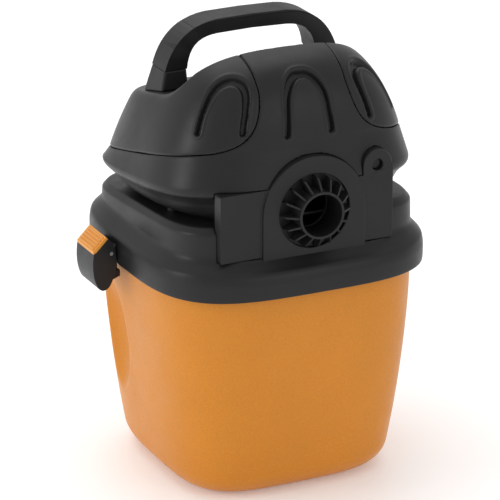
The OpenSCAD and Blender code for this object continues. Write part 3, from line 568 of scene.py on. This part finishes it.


# The sixth value in each call is the strength of the painted highlight on convex edges.
SLOT_MATERIALS = {
    "tank_plastic": moulded("tank_orange", (0.6, 0.215, 0.014), 0.38, 0.00005, 900.0, 0.35,
                            spread=0.04, shine=0.3),
    "housing_plastic": moulded("housing_black", (0.0115, 0.0115, 0.0125), 0.37, 0.0001, 1300.0, 0.45,
                               shine=0.27),
    "grip_plastic": moulded("grip_charcoal", (0.018, 0.018, 0.019), 0.5, 0.00018, 1000.0, 0.5, shine=0.3),
    "inner_plastic": moulded("inner_grey", (0.022, 0.022, 0.024), 0.5),
    "pad_plastic": moulded("pad_orange", (0.68, 0.27, 0.03), 0.34, 0.00006, 900.0, 0.35, spread=0.05),
    "rubber": moulded("rubber_black", (0.018, 0.018, 0.018), 0.7, 0.0001, 700.0, 0.3),
    "steel": moulded("zinc_steel", colour_of("steel"), 0.34, 0.00004, 1800.0, 0.4, 1.0, 0.06),
    "iron": moulded("stacked_iron", colour_of("iron"), 0.5, 0.0002, 300.0, 0.4, 1.0, 0.1,
                    stretch=(0.2, 0.2, 6)),
    "copper": moulded("enamelled_copper", colour_of("copper"), 0.36, 0.0003, 500.0, 0.4, 1.0, 0.12),
    "bracket_metal": moulded("pressed_aluminium", colour_of("bracket_metal"), 0.42, 0.00006, 900.0, 0.4, 1.0),
    "carbon": moulded("pressed_carbon", (0.012, 0.012, 0.013), 0.62),
    "holder_plastic": moulded("phenolic_brown", colour_of("holder_plastic"), 0.5),
    "fan_plastic": moulded("natural_plastic", colour_of("fan_plastic"), 0.42, spread=0.04),
    "filter_foam": moulded("open_foam", colour_of("filter_foam"), 0.9, 0.0012, 420.0, 0.2, spread=0.25),
    "rocker_plastic": moulded("rocker_red", colour_of("rocker_plastic"), 0.3, 0.00004, 900.0, 0.3),
}
DARK_SCREW = moulded("blackened_steel", (0.03, 0.03, 0.032), 0.4, 0.00004, 1800.0, 0.4, 1.0, 0.06)
# Width of the softened edges of the CAD nodes, in millimetres
BEVELS = {"exhaust_panel": 1.3, "exhaust_port": 0.45, "handle_arch": 4.2, "grip_pad": 1.2,
          "handle_foot_left": 1.6, "handle_foot_right": 1.6, "latch_lever_left": 0.8,
          "latch_lever_right": 0.8, "latch_pad_left": 0.8, "latch_pad_right": 0.8, "latch_brackets": 0.8,
          "inlet_port": 0.6, "switch_body": 0.5}
SMALL_BEVEL = 0.3
SHARP_ANGLE = 38.0


def slot_of(node):
    """The record's material slot of a CAD node."""
    for part in frame["record"]["subparts"]:
        if part["node"] == node:
            return part["material_slot"]
    return "housing_plastic"


def finish_node(node, obj):
    """Gives a CAD node its material and softens its edges."""
    slot = slot_of(node)
    obj.data.materials.clear()
    obj.data.materials.append(DARK_SCREW if node == "panel_screw" else SLOT_MATERIALS[slot])
    weld = obj.modifiers.new("weld", "WELD")
    weld.merge_threshold = 0.00001
    bevel = obj.modifiers.new("bevel", "BEVEL")
    bevel.width = BEVELS.get(node, SMALL_BEVEL) * MM
    bevel.segments = 3
    bevel.limit_method = "ANGLE"
    bevel.angle_limit = math.radians(40)
    bevel.use_clamp_overlap = True
    bevel.harden_normals = False


for node_name, node_obj in frame["nodes"].items():
    finish_node(node_name, node_obj)


# ---- shells ---------------------------------------------------------------------------
def build_tank():
    verts, faces = capped(tank_points(), start=True)
    inlet = np.hypot(verts[:, 0], verts[:, 2] - INLET_Z) - INLET_HOLE_R
    verts, faces = cut(verts, faces, np.where(verts[:, 1] > 0, inlet, KEEP))
    piece("tank_shell", verts, faces, "tank", "tank_plastic", ["tank"], TANK_WALL)


def build_lid():
    grid = lid_points()
    verts, faces = grid.reshape(-1, 3), grid_faces(*grid.shape[:2])
    pocket = np.maximum(panel_field(verts[:, 0], verts[:, 2]) - LID_PLAY, verts[:, 1] + POCKET)
    verts, faces = cut(verts, faces, np.maximum(pocket, LID_STEP_Z - verts[:, 2]))
    piece("lid_shell", verts, faces, "head", "housing_plastic", ["lid_base"], HEAD_WALL)


def head_holes(verts):
    """Positive outside the holes for the exhaust block, the switch and the gland."""
    x, y, z = verts[:, 0], verts[:, 1], verts[:, 2]
    block = np.maximum(panel_field(x, z) - HEAD_PLAY, y + POCKET)
    switch = np.maximum(np.abs(x) - SWITCH_HALF_X, np.abs(z - SWITCH_Z) - SWITCH_HALF_Z)
    gland = np.hypot(x - GLAND_X, z - GLAND_Z) - GLAND_R
    return np.minimum(block, np.where(y > BACK_Y, np.minimum(switch, gland), KEEP))


def with_bosses(verts, faces):
    """Adds the four screw bosses that stand between the deck and the belly of the head."""
    for x in (-BOSS_X, BOSS_X):
        for y in (-BOSS_Y, BOSS_Y):
            foot_z = DECK_Z - DECK_SLOPE * y + 0.4
            levels = [[BOSS_R, BOSS_R, 2, foot_z, DECK_SLOPE, y], [BOSS_R, BOSS_R, 2, BOSS_TOP, 0, y]]
            boss, boss_faces = capped(loft(levels, 12, 12), start=True, end=True)
            boss[:, 0] += x
            faces = np.vstack([faces, boss_faces + len(verts)])
            verts = np.vstack([verts, boss])
    return verts, faces


def build_head():
    grid = head_points(*HEAD_GRID, HEAD_STEP)
    verts, faces = capped(grid, end=True)
    normals = np.vstack([grid_normals(grid).reshape(-1, 3), [[0, 0, 1]]])
    seam = cover_field(verts)
    roll = np.clip(1 - (np.abs(seam) - SEAM_GAP) / SEAM_ROUND, 0, 1)
    sunk = groove_depth(verts) + SEAM_DEEP * roll * roll
    verts = verts - normals * sunk[:, None]
    holes = head_holes(verts)
    middle = with_bosses(*cut(verts, faces, np.minimum(-seam - SEAM_GAP, holes)))
    piece("head_shell", *middle, "head", "housing_plastic", ["main_housing"], HEAD_WALL)
    covers = np.minimum(seam - SEAM_GAP, holes)
    for side, name in ((-1, "side_cover_left"), (1, "side_cover_right")):
        cover = cut(verts, faces, np.where(verts[:, 0] * side > 0, covers, -1.0))
        piece(name + "_shell", *cover, "head", "housing_plastic", [name], HEAD_WALL)


build_tank()
build_lid()
build_head()


# ---- floor, light and camera -------------------------------------------------------------
def floor_sheet():
    """A plain pale floor, faintly bright in itself so that it stays white round the object."""
    mesh = bpy.data.meshes.new("floor")
    half = 3.0
    corners = [(-half, -half, 0), (half, -half, 0), (half, half, 0), (-half, half, 0)]
    mesh.from_pydata(corners, [], [(0, 1, 2, 3)])
    obj = bpy.data.objects.new("floor", mesh)
    bpy.context.scene.collection.objects.link(obj)
    white = moulded("pale_floor", (0.94, 0.94, 0.94), 0.6, 0.00002, 300.0, 0.0, spread=0.01)
    shader = white.node_tree.nodes["Principled BSDF"]
    shader.inputs["Emission Color"].default_value = (0.97, 0.985, 1, 1)
    shader.inputs["Emission Strength"].default_value = 0.16
    mesh.materials.append(white)


def area_light(name, size, power, place, aim):
    """A soft round light in watts and metres, turned to the point it aims at."""
    data = bpy.data.lights.new(name, "AREA")
    data.shape, data.size, data.energy = "DISK", size, power
    obj = bpy.data.objects.new(name, data)
    bpy.context.scene.collection.objects.link(obj)
    obj.location = place
    obj.rotation_euler = (Vector(aim) - Vector(place)).to_track_quat("-Z", "Y").to_euler()


floor_sheet()
area_light("key_left", 0.9, 9.0, (-1.9, 0.2, 0.8), (0, 0, 0.2))
area_light("top_soft", 2.2, 17.0, (0.0, 0.9, 2.1), (0, 0.3, 0.1))
area_light("front_fill", 1.4, 5.0, (0.9, -2.4, 1.2), (0, 0, 0.15))
world = bpy.data.worlds.new("studio")
world.use_nodes = True
world.node_tree.nodes["Background"].inputs["Color"].default_value = (1, 1, 1, 1)
world.node_tree.nodes["Background"].inputs["Strength"].default_value = 0.78
bpy.context.scene.world = world
bpy.context.scene.view_settings.view_transform = "Standard"

# The camera stands in front and to the left, above the object, in metres
AZIMUTH, ELEVATION = math.radians(-25.63), math.radians(20.45)
DISTANCE, AIM_Z = 2.5706, 0.174
away = Vector((math.sin(AZIMUTH) * math.cos(ELEVATION), -math.cos(AZIMUTH) * math.cos(ELEVATION),
               math.sin(ELEVATION)))
lens = bpy.data.cameras.new("camera")
lens.lens, lens.sensor_width, lens.shift_x = 229.6, 36.0, -0.0088
eye = bpy.data.objects.new("camera", lens)
bpy.context.scene.collection.objects.link(eye)
eye.location = Vector((0, 0, AIM_Z)) + away * DISTANCE
eye.rotation_euler = (-away).to_track_quat("-Z", "Y").to_euler()
bpy.context.scene.camera = eye
